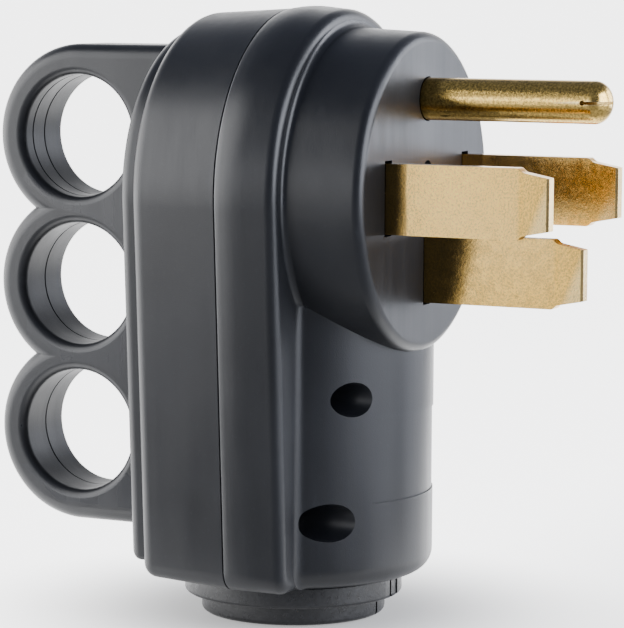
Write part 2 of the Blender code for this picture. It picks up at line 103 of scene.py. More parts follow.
# Housing shape: an arch on tapering sides, with a ridge that stands proud beside the seam
PROUD = 0.5
ARCH_R = FRONT_HIGH.z - PROUD
SIDE_TAPER = math.radians(3.46)
CORNER_R = 3.5
CORNER_LEAST_R = 0.8
WALL = 2.6
FACE_WALL = 2.8
FLANGE_Y = 13.5
FLANGE_EDGE_R = 1.8
PROUD_Y = SEAM_Y - 3.2
# The ridge's start, corner and end: (distance from PROUD_Y, share of PROUD)
RIDGE = ((-2.2, 0.72), (0.0, 1.15), (1.9, 0.5))
REAR_Y = 40.1
PAD_Y = 43.4
REAR_DRAFT = 0.8
REAR_EDGE_R = 2.4
PAD_INSET = 3.3
PAD_EDGE_R = 2.0
SEAM_GAP = 0.06
SEAM_EDGE = 0.3
REAR_LIP = 0.06
REAR_INSET = 0.01

# Boss and column
BOSS_R = 26.5
BOSS_EDGE_R = 1.75
BOSS_DRAFT = 0.5
BOSS_ROOT_R = 1.1
BOSS_END_Y = FLANGE_Y + 1.5
COLUMN_R = 23.6
COLUMN_EDGE_R = 3.6
COLUMN_ROOT_R = 2.2
COLUMN_TOP_Z = -8.0
COLUMN_HOLLOW_Y = 20.0
LABEL_HALF = 12.0
LABEL_Z = (-50.4, -36.4)
LABEL_DEPTH = 0.2

# Blades, with the step at the tip as (distance behind the tip, how far the edge is drawn in)
BLADE_TERMINALS = {"hot_blade_left": "hot_left", "hot_blade_right": "hot_right", "neutral_blade": "neutral"}
BLADE_HALF = 1.2
BLADE_WIDTH = 11.4
BLADE_EASE = 0.25
BLADE_ROUND = 0.16
BLADE_STEP = ((5.45, 0.0), (5.25, 0.05), (5.05, 0.18), (4.85, 0.40), (4.6, 0.60), (4.3, 0.72), (4.0, 0.78))
BLADE_TIP_HALF = 4.15
TIP_CHAMFER = 0.4
TERMINAL_DROP = 0.3
TERMINAL_HOLE_R = 2.3
BLADE_GAP = 0.18
SLOT_END_GAP = 0.4

# Ground pin, with the slit and the small hole at its tip
GROUND_R = 3.5
GROUND_DOME = 2.9
GROUND_SHOULDER = 0.4
GROUND_NECK_R = 2.4
GROUND_TAIL_R = 2.1
GROUND_HOLE_R = 2.5
SLIT_X = (-5.0, 0.6)
SLIT_HALF = 0.24
SLIT_LENGTH = 3.8
SLIT_HOLE_R = 0.42
SLIT_HOLE_AT = 3.9

# Contact carrier, with its rim as (distance from the back, inset)
CARRIER_EASE = 0.4
CARRIER_RIM = ((2.6, 0.0), (2.4, 0.5), (1.6, 0.5), (1.4, 0.0), (CARRIER_EASE, 0.0), (0.0, CARRIER_EASE))
CARRIER_GAP = 0.25
CARRIER_HOLE_R = 1.8
CARRIER_RELIEF_Y = 9.4

# Handle
HANDLE_HALF = 7.0
HANDLE_EDGE_R = 2.5
RING_R = 15.75
RING_BORE_R = 10.5
BORE_EDGE_R = 1.45
BORE_FLARE = 0.4
RING_Y = REAR_HIGH.y - RING_R
RINGS = [opening_centre(f"finger_ring_{number}")[2] for number in (1, 2, 3)]
# Where the fine parting grooves run round the three bores
RING_MARKS = ((-3.6, 0.3), (0.3,), (0.3,))
MARK_HALF = 0.2
MARK_DEPTH = 0.32

# Posts behind the housing screws: (level, hole radius, post radius)
SCREW_LEVELS = (("upper", 2.85, 4.8), ("lower", 3.15, 5.0))
SCREW_SEAT_Y = 19.5
SCREW_CLEAR_R = 1.8
PILOT_END_Y = 35.5
REAR_POST_R = 4.2
CORD_POST_R = 3.8
CORD_POST_Y = 19.5
CORD_HOLE_Y = 11.0
CORD_CLEAR_R = 2.05

# The rib under the cord, and the strap over it
RIB_R = 12.5
RIB_HALF = 1.6
RIB_CUT_HALF = 7.0
RIB_Y = 15.0
SADDLE_INNER_R = 10.5
SADDLE_OUTER_R = 12.3
SADDLE_LUG = 2.0

# Bushing: a foot and a step outside, a neck in the housings' hole and a rim inside
NECK_HOLE_R = 13.1
BUSH_R = (BUSH_HIGH.x - BUSH_LOW.x) / 2
BUSH_EASE = 0.25
BUSH_FOOT_R = 15.6
BUSH_FOOT_INSET = 0.9
BUSH_FOOT_EDGE_R = 0.8
BUSH_STEP_Z = -68.4
BUSH_STEP_EDGE_R = 0.6
BUSH_TOP_Z = -64.8
BUSH_NECK_R = NECK_HOLE_R - 0.2
BUSH_RIM_Z = -60.8
BUSH_RIM_R = 15.0
BUSH_BORE_R = 10.5
BUSH_SPLIT_HALF = 0.3
BUSH_FLAT_Y = 37.0
TAB_HALF = 2.4
TAB_DEPTH = 0.35

# Screws: (head height, shank radius, thread pitch)
TERMINAL_SCREW = (2.6, 2.0, 0.794)
CARRIER_SCREW = (2.0, 1.5, 0.8)
CORD_SCREW = (2.4, 1.75, 1.0)
HOUSING_SCREW = (2.2, 1.5, 1.1)
# A pan head's dome as shares of its height and radius
HEAD_DOME = ((0.0, 0.5), (0.06, 0.72), (0.2, 0.9), (0.42, 0.985), (0.6, 1.0))
HEAD_EASE = 0.15
DRIVER_HALF = 0.4
# The side that a screw's tip points to
TO_FACE, TO_HANDLE = -1, 1

# Clamp plates: where the pairs of gripping grooves are
GRIP_PAIRS = (-3.6, 3.6)
GRIP_STEP = 0.5
GRIP_HALF = 0.2
GRIP_DEPTH = 0.3

# Mesh fineness
ARC_STEPS = 140
SIDE_STEPS = 24
CORNER_STEPS = 8
ROUND_STEPS = 96
EDGE_STEPS = 7
RIM_STEPS = 10
BOSS_STEPS = 200
BORE_STEPS = 144
COLUMN_STEPS = 110
HOLLOW_STEPS = 90
LABEL_STEPS = 48
SADDLE_STEPS = 72
RING_STEPS = (60, 40, 60)
THREAD_STEPS = 32
THREAD_ROWS = 8


# ------------------------ mesh tools


def add_mesh(name, bm):
    """Puts a bmesh drawn in millimetres into the scene, in metres."""
    bmesh.ops.scale(bm, vec=(MM, MM, MM), verts=bm.verts)
    bmesh.ops.recalc_face_normals(bm, faces=bm.faces)
    mesh = bpy.data.meshes.new(name)
    bm.to_mesh(mesh)
    bm.free()
    obj = bpy.data.objects.new(name, mesh)
    bpy.context.scene.collection.objects.link(obj)
    return obj


def apply_modifiers(obj):
    graph = bpy.context.evaluated_depsgraph_get()
    mesh = bpy.data.meshes.new_from_object(obj.evaluated_get(graph))
    obj.modifiers.clear()
    old = obj.data
    obj.data = mesh
    bpy.data.meshes.remove(old)


def combine(obj, other, operation):
    """One exact Boolean, applied at once. The other object is used up."""
    modifier = obj.modifiers.new("combine", "BOOLEAN")
    modifier.object = other
    modifier.operation = operation
    modifier.solver = "EXACT"
    apply_modifiers(obj)
    bpy.data.objects.remove(other, do_unlink=True)


def join(obj, *others):
    for other in others:
        combine(obj, other, "UNION")


def cut(obj, *others):
    for other in others:
        combine(obj, other, "DIFFERENCE")


def merged(name, shapes):
    """Several bmeshes in one object, for one Boolean."""
    whole = bmesh.new()
    for bm in shapes:
        mesh = bpy.data.meshes.new("part_of_" + name)
        bmesh.ops.recalc_face_normals(bm, faces=bm.faces)
        bm.to_mesh(mesh)
        bm.free()
        whole.from_mesh(mesh)
        bpy.data.meshes.remove(mesh)
    return add_mesh(name, whole)


def finish_piece(obj, material, body, slot, *nodes, angle=38.0):
    """Smooth shading that keeps sharp edges, then the piece's material, body and replaced nodes. The slot is
    not used.
    """
    obj.data.shade_smooth()
    obj.data.set_sharp_from_angle(angle=math.radians(angle))
    obj.data.materials.clear()
    obj.data.materials.append(material)
    normals = obj.modifiers.new("weighted_normals", "WEIGHTED_NORMAL")
    normals.keep_sharp = True
    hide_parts(*nodes)
    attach(obj, body)
    return obj


def round_edges(obj, width, segments=2, angle=40.0):
    bevel = obj.modifiers.new("round_edges", "BEVEL")
    bevel.width = width * MM
    bevel.segments = segments
    bevel.limit_method = "ANGLE"
    bevel.angle_limit = math.radians(angle)
    apply_modifiers(obj)


def loft(sections):
    """A closed solid through point rings of equal length, with flat ends."""
    bm = bmesh.new()
    rings = [[bm.verts.new(point) for point in section] for section in sections]
    for lower, upper in zip(rings, rings[1:]):
        count = len(lower)
        for i in range(count):
            j = (i + 1) % count
            bm.faces.new((lower[i], lower[j], upper[j], upper[i]))
    bm.faces.new(rings[0][::-1])
    bm.faces.new(rings[-1])
    return bm


def turned(profile, centre, axis, steps=ROUND_STEPS):
    """A solid of revolution from (distance along axis, radius) pairs."""
    to_axis = Vector((0, 0, 1)).rotation_difference(Vector(axis)).to_matrix()
    middle = Vector(centre)
    sections = []
    for along, radius in profile:
        ring = []
        for i in range(steps):
            turn = 2 * math.pi * i / steps
            spoke = Vector((radius * math.cos(turn), radius * math.sin(turn), along))
            ring.append(middle + to_axis @ spoke)
        sections.append(ring)
    return loft(sections)


def cylinder_y(radius, x, z, start, end, steps=48):
    return turned([(start, radius), (end, radius)], (x, 0, z), (0, 1, 0), steps)


def cylinder_z(radius, start, end, steps=ROUND_STEPS):
    """A cylinder about the cord's axis."""
    return turned([(start, radius), (end, radius)], (0, SEAM_Y, 0), (0, 0, 1), steps)


def box(low, high):
    bm = bmesh.new()
    bmesh.ops.create_cube(bm, size=1.0)
    low, high = Vector(low), Vector(high)
    size = Matrix.Diagonal((*(high - low), 1.0))
    bmesh.ops.transform(bm, matrix=Matrix.Translation((low + high) / 2) @ size, verts=bm.verts)
    return bm


def arc(centre, radius, start, end, steps):
    points = []
    for i in range(steps + 1):
        turn = start + (end - start) * i / steps
        points.append((centre[0] + radius * math.cos(turn), centre[1] + radius * math.sin(turn)))
    return points


def between(start, end, steps):
    """Points inside a straight run, both ends left out."""
    made = []
    for i in range(1, steps):
        share = i / steps
        made.append(tuple(a + (b - a) * share for a, b in zip(start, end)))
    return made


def rounded_edge(depth, inset, radius, direction, steps=EDGE_STEPS):
    """(depth, inset) stations of a rounded rim that ends at depth. direction points into the solid."""
    stations = []
    for i in range(steps + 1):
        turn = math.pi / 2 * i / steps
        deeper = direction * radius * (1 - math.cos(turn))
        stations.append((depth + deeper, inset + radius * (1 - math.sin(turn))))
    return stations


def bent(start, corner, end, steps):
    """A smooth bend from start to end that leans towards the corner."""
    made = []
    for i in range(steps + 1):
        t = i / steps
        first, second, third = (1 - t) ** 2, 2 * t * (1 - t), t * t
        made.append(tuple(first * a + second * b + third * c for a, b, c in zip(start, corner, end)))
    return made


def runs(stations, longest):
    """Adds stations so that no gap between neighbours is longer than that."""
    made = [stations[0]]
    for start, end in zip(stations, stations[1:]):
        pieces = max(1, math.ceil(abs(end[0] - start[0]) / longest))
        made += between(start, end, pieces) + [end]
    return made


# ------------------------ housing halves


def housing_outline(inset):
    """The arch on tapering sides, in (x, z), drawn smaller by the inset."""
    radius = ARCH_R - inset
    bottom = BOTTOM_Z + max(inset, 0.0)
    corner = max(CORNER_R - inset, CORNER_LEAST_R)
    across = (radius - corner - math.sin(SIDE_TAPER) * -(bottom + corner)) / math.cos(SIDE_TAPER)
    right = (across, bottom + corner)
    left = (-across, bottom + corner)
    lower_right = arc(right, corner, -math.pi / 2, -SIDE_TAPER, CORNER_STEPS)
    over = arc((0.0, 0.0), radius, -SIDE_TAPER, math.pi + SIDE_TAPER, ARC_STEPS)
    lower_left = arc(left, corner, math.pi + SIDE_TAPER, math.pi * 1.5, CORNER_STEPS)
    points = lower_right + between(lower_right[-1], over[0], SIDE_STEPS) + over
    points += between(over[-1], lower_left[0], SIDE_STEPS) + lower_left
    return points + between(lower_left[-1], lower_right[0], SIDE_STEPS)


def housing_loft(stations):
    """Lofts the arch through (y, inset) stations."""
    return loft([[(x, y, z) for x, z in housing_outline(inset)] for y, inset in stations])


def column_section(z, inset):
    """The column's section: an arc about the cord's axis that flares into the flange face on both sides."""
    radius = COLUMN_R - inset
    flare = COLUMN_ROOT_R
    depth = SEAM_Y - FLANGE_Y
    flare_x = math.sqrt((radius + flare) ** 2 - (depth + flare) ** 2)
    meet = math.atan2(depth + flare, flare_x)
    root = arc((-flare_x, FLANGE_Y - flare), flare, math.pi / 2, meet, CORNER_STEPS)[:-1]
    points = [(-flare_x, FLANGE_Y + PAST)] + root
    points += arc((0.0, SEAM_Y), radius, math.pi + meet, 2 * math.pi - meet, COLUMN_STEPS)
    points += [(-x, y) for x, y in root[::-1]]
    points += [(flare_x, FLANGE_Y + PAST)]
    return [(x, y, z) for x, y in points]


def screw_axes():
    """(x, z, hole radius, post radius) of the four housing screws."""
    found = []
    for level, hole_r, post_r in SCREW_LEVELS:
        for side in ("left", "right"):
            at = node_centre(f"housing_screw_{level}_{side}")
            found.append((at.x, at.z, hole_r, post_r))
    return found


def cord_screw_axes():
    return [node_centre(f"cord_clamp_screw_{side}") for side in ("left", "right")]


def blade_planes():
    """(name, x, middle z, half width) of the three flat contacts."""
    found = []
    for name in BLADE_TERMINALS:
        low, high = node_box(name)
        x = high.x - BLADE_HALF if name == "hot_blade_right" else low.x + BLADE_HALF
        found.append((name, x, low.z + BLADE_WIDTH / 2, BLADE_WIDTH / 2))
    return found


def contact_openings(start, end, gap):
    """Slots for the blades and round holes for the pin and the carrier's screw."""
    shapes = []
    for _, x, z, half in blade_planes():
        low = (x - BLADE_HALF - gap, start, z - half - SLOT_END_GAP)
        high = (x + BLADE_HALF + gap, end, z + half + SLOT_END_GAP)
        shapes.append(box(low, high))
    shapes.append(cylinder_y(GROUND_R + gap, 0, GROUND_AT.z, start, end, 72))
    shapes.append(cylinder_y(CARRIER_HOLE_R, 0, CARRIER_SCREW_AT.z, start, end))
    return shapes


def neck_hole():
    """The round hole in the housings' bottom that the bushing's neck sits in."""
    return cylinder_z(NECK_HOLE_R, BOTTOM_Z - 2 * PAST, BOTTOM_Z + WALL + 2 * PAST)


def boss_shape():
    """The boss from its rounded rim to the flare at its root, and a little way into the flange."""
    profile = [(y, BOSS_R - inset) for y, inset in rounded_edge(0.0, 0.0, BOSS_EDGE_R, 1, RIM_STEPS)]
    root = []
    for i in range(EDGE_STEPS + 1):
        turn = math.pi / 2 * i / EDGE_STEPS
        flare = BOSS_ROOT_R * (1 - math.cos(turn))
        root.append((FLANGE_Y - BOSS_ROOT_R * (1 - math.sin(turn)), BOSS_R + BOSS_DRAFT + flare))
    side = between(profile[-1], root[0], CORNER_STEPS)
    end = [(BOSS_END_Y, BOSS_R + BOSS_DRAFT + BOSS_ROOT_R)]
    return turned(profile + side + root + end, (0, 0, 0), (0, 1, 0), BOSS_STEPS)


def column_shape():
    stations = rounded_edge(BOTTOM_Z, 0.0, COLUMN_EDGE_R, 1, RIM_STEPS)
    stations = runs(stations + [(COLUMN_TOP_Z, 0.0)], 2.0)
    return loft([column_section(z, inset) for z, inset in stations])


def label_recess():
    """The cutter of a shallow blank panel on the column."""
    inner = COLUMN_R - LABEL_DEPTH
    half = math.asin(LABEL_HALF / inner)
    start, end = -math.pi / 2 - half, -math.pi / 2 + half
    points = arc((0.0, SEAM_Y), COLUMN_R + PAST, start, end, LABEL_STEPS)
    points += arc((0.0, SEAM_Y), inner, start, end, LABEL_STEPS)[::-1]
    return loft([[(x, y, z) for x, y in points] for z in LABEL_Z])


def cord_rib():
    """The rib under the cord, hollowed to the cord's round."""
    first, _ = cord_screw_axes()
    reach = abs(first.x)
    low, high = (-reach, 0, first.z - RIB_HALF), (reach, RIB_Y, first.z + RIB_HALF)
    rib = add_mesh("cord_rib", box(low, high))
    cut(rib, add_mesh("rib_round", cylinder_z(RIB_R, first.z - RIB_CUT_HALF, first.z + RIB_CUT_HALF)))
    return rib


def front_cavity():
    """The hollow of the front half, with its screw posts and the cord rib left standing."""
    hollow = add_mesh("front_cavity", housing_loft([(FLANGE_Y + WALL, WALL), (SEAM_Y + PAST, WALL)]))
    boss = cylinder_y(BOSS_R - WALL, 0, 0, FACE_WALL, FLANGE_Y + WALL + PAST, 160)
    inner_r = COLUMN_R - WALL
    half = math.acos((SEAM_Y - COLUMN_HOLLOW_Y) / inner_r)
    half_disc = arc((0.0, SEAM_Y), inner_r, -math.pi / 2 - half, -math.pi / 2 + half, HOLLOW_STEPS)
    column = loft([[(x, y, z) for x, y in half_disc] for z in (BOTTOM_Z + WALL + 0.1, COLUMN_TOP_Z)])
    join(hollow, add_mesh("boss_cavity", boss), add_mesh("column_cavity", column))
    posts = [cylinder_y(post_r, x, z, 0.0, SEAM_Y + 2 * PAST) for x, z, _, post_r in screw_axes()]
    posts += [cylinder_y(CORD_POST_R, at.x, at.z, 0.0, CORD_POST_Y) for at in cord_screw_axes()]
    cut(hollow, merged("posts", posts), cord_rib())
    return hollow


def make_front_housing(material):
    """The front shell, with its boss and column, its deep screw holes and the openings for the contacts."""
    edge = rounded_edge(FLANGE_Y, 0.0, FLANGE_EDGE_R, 1)
    end = SEAM_Y - SEAM_GAP / 2
    ridge = bent(*[(PROUD_Y + along, -PROUD * share) for along, share in RIDGE], RIM_STEPS)
    lip = PROUD * 0.2
    stations = runs(edge + [ridge[0]], 1.6) + ridge[1:] + [(end - SEAM_EDGE, -lip), (end, SEAM_EDGE - lip)]
    shell = add_mesh("front_shell", housing_loft(stations))
    join(shell, add_mesh("boss", boss_shape()), add_mesh("column", column_shape()))
    cut(shell, front_cavity())
    holes = []
    for x, z, hole_r, _ in screw_axes():
        stepped = [(-PAST, hole_r), (SCREW_SEAT_Y, hole_r)]
        stepped += [(SCREW_SEAT_Y, SCREW_CLEAR_R), (SEAM_Y + PAST, SCREW_CLEAR_R)]
        holes.append(turned(stepped, (x, 0, z), (0, 1, 0), 64))
    holes += [cylinder_y(CORD_CLEAR_R, at.x, at.z, CORD_HOLE_Y, SEAM_Y) for at in cord_screw_axes()]
    holes += contact_openings(-PAST, FACE_WALL + PAST, BLADE_GAP)
    holes.append(neck_hole())
    cut(shell, merged("front_holes", holes))
    cut(shell, add_mesh("label_recess", label_recess()))
    return finish_piece(shell, material, "front_shell", "housing", "front_housing")


def handle_outline(inset):
    """Three overlapping ring circles and a straight root, in (y, z)."""
    radius = RING_R - inset
    meet = math.asin((RINGS[0] - RINGS[1]) / 2 / radius)
    turns = ((math.pi / 2, -meet), (meet, -meet), (meet, -math.pi / 2))
    rings = []
    for z, (first, last), steps in zip(RINGS, turns, RING_STEPS):
        ring = arc((RING_Y, z), radius, first, last, steps)
        rings += ring[1:] if rings else ring
    root_y = REAR_Y + PAST
    start, end = (root_y, RINGS[0] + radius), (root_y, RINGS[2] - radius)
    upper = [start] + between(start, rings[0], RIM_STEPS)
    lower = between(rings[-1], end, RIM_STEPS) + [end]
    return upper + rings + lower + between(end, start, SIDE_STEPS)


def ring_bore(z, marks):
    """The bore's cutter along X: rounded rims, and a fine groove at each parting mark."""
    half = HANDLE_HALF
    rim = [(half + BORE_FLARE, RING_BORE_R + BORE_EDGE_R + BORE_FLARE)]
    for i in range(EDGE_STEPS + 1):
        turn = math.pi / 2 * i / EDGE_STEPS
        at = half - BORE_EDGE_R * (1 - math.cos(turn))
        rim.append((at, RING_BORE_R + BORE_EDGE_R * (1 - math.sin(turn))))
    profile = [(-x, radius) for x, radius in rim]
    for x in marks:
        profile += [(x - MARK_HALF, RING_BORE_R), (x, RING_BORE_R + MARK_DEPTH), (x + MARK_HALF, RING_BORE_R)]
    profile += rim[::-1]
    return turned(profile, (0, RING_Y, z), (1, 0, 0), BORE_STEPS)


def rear_cavity():
    """The hollow of the rear cover, with its screw posts left standing."""
    inside = housing_loft([(SEAM_Y - PAST, WALL), (REAR_Y - WALL, WALL + REAR_DRAFT)])
    hollow = add_mesh("rear_cavity", inside)
    pocket = housing_loft([(REAR_Y - WALL - PAST, PAD_INSET + WALL), (PAD_Y - WALL, PAD_INSET + WALL)])
    join(hollow, add_mesh("pad_pocket", pocket))
    posts = [cylinder_y(REAR_POST_R, x, z, SEAM_Y - 2 * PAST, PAD_Y) for x, z, _, _ in screw_axes()]
    cut(hollow, merged("rear_posts", posts))
    return hollow


def make_rear_cover(material):
    """The rear shell with its raised pad and the handle of three finger rings."""
    start = SEAM_Y + SEAM_GAP / 2
    rim = rounded_edge(REAR_Y, REAR_DRAFT, REAR_EDGE_R, -1)[::-1]
    stations = [(start, REAR_LIP), (start + REAR_LIP, REAR_INSET)] + rim
    shell = add_mesh("rear_shell", housing_loft(runs(stations, 2.0)))
    pad_rim = rounded_edge(PAD_Y, PAD_INSET, PAD_EDGE_R, -1)[::-1]
    pad = add_mesh("pad", housing_loft([(REAR_Y - 1.5 * PAST, PAD_INSET)] + pad_rim))
    plates = []
    edge = rounded_edge(-HANDLE_HALF, 0.0, HANDLE_EDGE_R, 1)
    for x, inset in edge + [(-x, inset) for x, inset in edge[::-1]]:
        plates.append([(x, y, z) for y, z in handle_outline(inset)])
    join(shell, pad, add_mesh("handle", loft(plates)))
    bores = [ring_bore(z, marks) for z, marks in zip(RINGS, RING_MARKS)]
    cut(shell, merged("bores", bores), rear_cavity())
    holes = [cylinder_y(SCREW_CLEAR_R, x, z, SEAM_Y - PAST, PILOT_END_Y) for x, z, _, _ in screw_axes()]
    holes.append(neck_hole())
    cut(shell, merged("rear_holes", holes))
    return finish_piece(shell, material, "cover", "housing", "rear_cover")


def make_bushing(material):
    """A two-step ring, split at the front, with a shallow tab recess across the split."""
    low, high = BUSH_LOW.z, BUSH_HIGH.z
    foot = rounded_edge(low, 0.0, BUSH_FOOT_EDGE_R, 1, 4)[1:]
    step = rounded_edge(BUSH_STEP_Z, 0.0, BUSH_STEP_EDGE_R, 1, 4)
    profile = [(low, BUSH_FOOT_R - BUSH_FOOT_INSET)]
    profile += [(z, BUSH_FOOT_R - inset) for z, inset in foot]
    profile += [(BUSH_STEP_Z - BUSH_EASE, BUSH_FOOT_R), (BUSH_STEP_Z, BUSH_FOOT_R + BUSH_EASE)]
    profile += [(z, BUSH_R - inset) for z, inset in step]
    profile += [(BUSH_TOP_Z - BUSH_EASE, BUSH_R), (BUSH_TOP_Z, BUSH_R - BUSH_EASE)]
    profile += [(BUSH_TOP_Z, BUSH_NECK_R), (BUSH_RIM_Z, BUSH_NECK_R)]
    profile += [(BUSH_RIM_Z, BUSH_RIM_R), (high, BUSH_RIM_R)]
    ring = add_mesh("bushing", turned(profile, (0, SEAM_Y, 0), (0, 0, 1), BORE_STEPS))
    bottom, top = low - 3 * PAST, high + 3 * PAST
    cut(ring, add_mesh("bushing_bore", cylinder_z(BUSH_BORE_R, bottom, top, 120)))
    split = box((-BUSH_SPLIT_HALF, 0, bottom), (BUSH_SPLIT_HALF, SEAM_Y, top))
    cut(ring, add_mesh("bushing_split", split))
    front = SEAM_Y - BUSH_R
    recess_low = (-TAB_HALF, front - PAST, BUSH_STEP_Z + TAB_DEPTH)
    recess_high = (TAB_HALF, front + TAB_DEPTH, BUSH_TOP_Z + PAST)
    cut(ring, add_mesh("bushing_recess", box(recess_low, recess_high)))
    cut(ring, add_mesh("bushing_flat", box((-20, BUSH_FLAT_Y, BUSH_RIM_Z - 0.1), (20, 45, top))))
    return finish_piece(ring, material, "front_shell", "bushing", "cord_bushing")


# ------------------------ contacts and carrier


def blade_outline(z, half, tail_y, tip_y, shorter):
    """Side view in (y, z): straight edges, a rounded step and a tapered tip."""
    upper = [(tail_y, half)]
    upper += [(tip_y + behind, half - inset) for behind, inset in BLADE_STEP]
    upper += [(tip_y + shorter, BLADE_TIP_HALF + shorter * 0.2)]
    return [(y, z + h) for y, h in upper] + [(y, z - h) for y, h in upper[::-1]]


def make_blade(name, x, z, half, material):
    """A flat contact with eased edges and a chamfered tip, bent over inside into its terminal plate."""
    low, high = node_box(name)
    tail_y = high.y
    inner = BLADE_HALF - BLADE_EASE
    sections = []
    for side, shorter in ((-BLADE_HALF, TIP_CHAMFER), (-inner, 0.0), (inner, 0.0), (BLADE_HALF, TIP_CHAMFER)):
        outline = blade_outline(z, half, tail_y, low.y, shorter)
        sections.append([(x + side, y, height) for y, height in outline])
    blade = add_mesh(name + "_brass", loft(sections))
    screw = node_centre(f"{BLADE_TERMINALS[name]}_terminal_screw")
    toward = math.copysign(1, screw.x - x)
    near = x - toward * BLADE_HALF / 2
    far = high.x if toward > 0 else low.x
    plate_low = z - half + TERMINAL_DROP
    plate_high = 2 * screw.z - plate_low
    front, back = tail_y - 2 * BLADE_HALF, tail_y - 0.01
    plate = box((min(near, far), front, plate_low), (max(near, far), back, plate_high))
    join(blade, add_mesh("tail", plate))
    round_edges(blade, BLADE_ROUND, 2, 30.0)
    hole = cylinder_y(TERMINAL_HOLE_R, screw.x, screw.z, tail_y - 5 * PAST, tail_y + 5 * PAST)
    cut(blade, add_mesh("screw_hole", hole))
    return finish_piece(blade, material, "front_shell", "contacts", name, angle=30.0)


def make_ground_pin(material):
    """A round pin with a domed tip, a slit there that ends in a small hole, and a riveted tail."""
    low, high = node_box("ground_pin")
    shoulder = CARRIER_HIGH.y - GROUND_SHOULDER
    dome_y = low.y + GROUND_DOME
    profile = [(high.y, GROUND_TAIL_R), (high.y - 0.3, GROUND_NECK_R), (shoulder, GROUND_NECK_R)]
    profile += [(shoulder, GROUND_R)] + between((shoulder, GROUND_R), (dome_y, GROUND_R), 12)
    for i in range(15):
        turn = math.pi / 2 * i / 15
        profile.append((dome_y - GROUND_DOME * math.sin(turn), GROUND_R * math.cos(turn)))
    profile.append((low.y, 0.2))
    pin = add_mesh("ground_pin_brass", turned(profile, (0, 0, GROUND_AT.z), (0, 1, 0), ROUND_STEPS))
    start, end = SLIT_X
    slit_low = (start, low.y - PAST, GROUND_AT.z - SLIT_HALF)
    slit_high = (end, low.y + SLIT_LENGTH, GROUND_AT.z + SLIT_HALF)
    cut(pin, add_mesh("slit", box(slit_low, slit_high)))
    slit_end = (0, low.y + SLIT_HOLE_AT, GROUND_AT.z)
    hole = turned([(start, SLIT_HOLE_R), (end, SLIT_HOLE_R)], slit_end, (1, 0, 0), 24)
    cut(pin, add_mesh("slit_end", hole))
    return finish_piece(pin, material, "front_shell", "contacts", "ground_pin")


def make_ground_terminal(material):
    """The plate that the pin is riveted to, with its screw hole."""
    low, high = node_box("ground_terminal")
    plate = add_mesh("ground_terminal_brass", box(low, high))
    round_edges(plate, 0.25)
    screw = node_centre("ground_terminal_screw")
    start, end = low.y - 2 * PAST, high.y + 2 * PAST
    holes = [
        cylinder_y(GROUND_HOLE_R, 0, GROUND_AT.z, start, end),
        cylinder_y(TERMINAL_HOLE_R, screw.x, screw.z, start, end),
    ]
    cut(plate, merged("plate_holes", holes))
    return finish_piece(plate, material, "front_shell", "contacts", "ground_terminal")


def make_carrier(material):
    """The insulating disc, with a rim groove, the contacts' openings and reliefs for the screw tips."""
    start, end = CARRIER_LOW.y, CARRIER_HIGH.y
    radius = CARRIER_HIGH.x
    profile = [(start, radius - CARRIER_EASE), (start + CARRIER_EASE, radius)]
    profile += [(end - back, radius - inset) for back, inset in CARRIER_RIM]
    disc = add_mesh("carrier_disc", turned(profile, (0, 0, 0), (0, 1, 0), 128))
    cut(disc, merged("carrier_openings", contact_openings(start - PAST, end + PAST, CARRIER_GAP)))
    reliefs = []
    for name in (*BLADE_TERMINALS.values(), "ground"):
        at = node_centre(f"{name}_terminal_screw")
        reliefs.append(cylinder_y(TERMINAL_HOLE_R, at.x, at.z, CARRIER_RELIEF_Y, end + PAST))
    cut(disc, merged("carrier_reliefs", reliefs))
    return finish_piece(disc, material, "front_shell", "insulator", "contact_carrier")


# ------------------------ screws and clamps


def threaded_shank(radius, start, end, pitch, toward, at):
    """A shank along Y whose surface is a true helical thread, pointed at its far end."""
    depth = pitch * 0.42
    length = abs(end - start)
    rows = max(2, int(length / pitch * THREAD_ROWS))
    sections = []
    for row in range(rows + 1):
        along = length * row / rows
        fade = min(1.0, (length - along) / (pitch * 1.2) + 0.15, along / pitch + 0.1)
        tip = min(0.35, max(0.0, along - length + 1.2) * 0.4)
        ring = []
        for i in range(THREAD_STEPS):
            turn = 2 * math.pi * i / THREAD_STEPS
            phase = (along / pitch - toward * i / THREAD_STEPS) % 1.0
            wave = abs(phase * 2 - 1)
            r = radius - depth * (1 - wave) * fade - tip
            ring.append((at.x + r * math.cos(turn), start + toward * along, at.z + r * math.sin(turn)))
        sections.append(ring)
    return loft(sections)


def make_screw(node, body, slot, material, toward, size, cross=False):
    """A pan-head screw along Y with a driver recess and a threaded shank.

    toward is the side that its tip points to, and size is one of the screws named at the top.
    """
    head_h, shank_r, pitch = size
    low, high = node_box(node)
    at = (low + high) / 2
    head_r = (high.x - low.x) / 2
    top = low.y if toward > 0 else high.y
    tip = high.y if toward > 0 else low.y
    seat = top + toward * head_h
    profile = [(head_h * height, head_r * share) for height, share in HEAD_DOME]
    profile += [(head_h - HEAD_EASE, head_r), (head_h, head_r - HEAD_EASE)]
    head = turned([(top + toward * y, r) for y, r in profile], (at.x, 0, at.z), (0, 1, 0), 56)
    screw = add_mesh(node + "_fine", head)
    shank = threaded_shank(shank_r, seat - toward * 0.2, tip, pitch, toward, at)
    join(screw, add_mesh("shank", shank))
    y_low, y_high = sorted((top - toward * PAST, top + toward * head_h * 0.5))
    reach = head_r * 0.55 if cross else head_r + PAST
    recess = box((at.x - reach, y_low, at.z - DRIVER_HALF), (at.x + reach, y_high, at.z + DRIVER_HALF))
    cut(screw, add_mesh("driver_slot", recess))
    if cross:
        second = box((at.x - DRIVER_HALF, y_low, at.z - reach), (at.x + DRIVER_HALF, y_high, at.z + reach))
        cut(screw, add_mesh("driver_cross", second))
    return finish_piece(screw, material, body, slot, node, angle=34.0)


